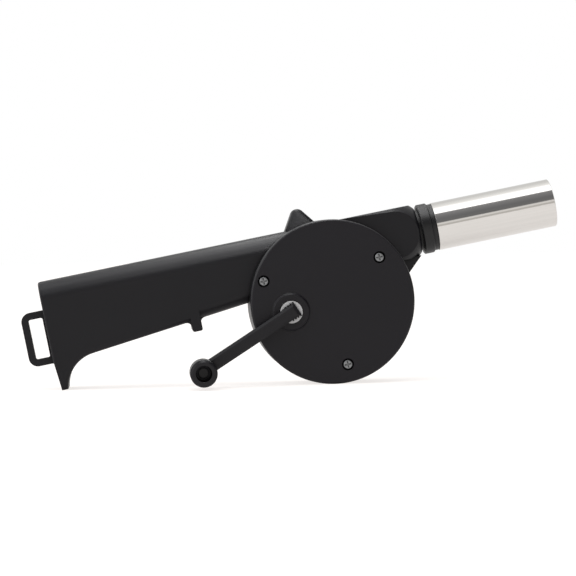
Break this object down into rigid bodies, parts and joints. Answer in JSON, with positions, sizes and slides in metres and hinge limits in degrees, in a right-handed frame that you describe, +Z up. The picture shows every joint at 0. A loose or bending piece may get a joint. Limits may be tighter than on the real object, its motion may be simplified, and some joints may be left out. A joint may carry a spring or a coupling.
{
  "type": "hand crank blower",
  "caption": "Hand cranked air blower: a side crank drives a radial fan through a gear train and blows air out of a steel nozzle tube.",
  "frame": {"origin": "bottom centre of the box of the blower as it lies on its heel and its drum", "axes": "+X forward to the nozzle's side, +Y away from the crank's side, +Z up"},
  "size_m": [0.2356, 0.0584, 0.0866],
  "materials": {
    "housing_plastic": "satin moulded black",
    "cover_plastic": "satin moulded black",
    "collar_plastic": "satin moulded black",
    "crank_plastic": "satin moulded black",
    "fan_plastic": "moulded black",
    "nylon": "natural nylon",
    "polished_steel": "polished stainless steel",
    "shaft_steel": "ground",
    "screw_steel": "zinc plated",
    "black_steel": "black oxide",
    "bush_brass": "turned"
  },
  "bodies": {
    "housing": {"front_shell": "housing_plastic", "rear_shell": "housing_plastic", "gear_cover": "cover_plastic", "intake_grille": "cover_plastic", "end_cap": "housing_plastic", "neck_ring": "collar_plastic", "nozzle_tube": "polished_steel", "idler_pin": "shaft_steel", "fan_bush_front": "bush_brass", "fan_bush_rear": "bush_brass", "drive_washer": "nylon", "cover_screws": "screw_steel", "grille_screws": "screw_steel", "shell_screws": "screw_steel"},
    "crank": {"crank_arm": "crank_plastic", "drive_gear": "nylon", "knob_clip": "black_steel"},
    "knob": {"crank_knob": "crank_plastic"},
    "idler": {"idler_gear": "nylon"},
    "fan": {"fan_wheel": "fan_plastic", "fan_shaft": "shaft_steel", "fan_pinion": "bush_brass", "fan_nut": "screw_steel"}
  },
  "joints": [
    {"name": "crank_turn", "type": "hinge", "parent": "housing", "child": "crank", "pos_m": [-0.00135, 0.0152, 0.03151], "axis": [0, 1, 0], "continuous": true},
    {"name": "knob_spin", "type": "hinge", "parent": "crank", "child": "knob", "pos_m": [-0.04016, -0.0207, 0.00718], "axis": [0, 1, 0], "continuous": true},
    {"name": "idler_spin", "type": "hinge", "parent": "housing", "child": "idler", "pos_m": [0.00798, 0.0152, 0.04643], "axis": [0, 1, 0], "continuous": true},
    {"name": "fan_spin", "type": "hinge", "parent": "housing", "child": "fan", "pos_m": [0.01673, 0.0152, 0.0355], "axis": [0, 1, 0], "continuous": true}
  ],
  "couplings": [
    {"joint": "idler_spin", "follows": "crank_turn", "ratio": -3.4},
    {"joint": "fan_spin", "follows": "crank_turn", "ratio": 10.2}
  ]
}
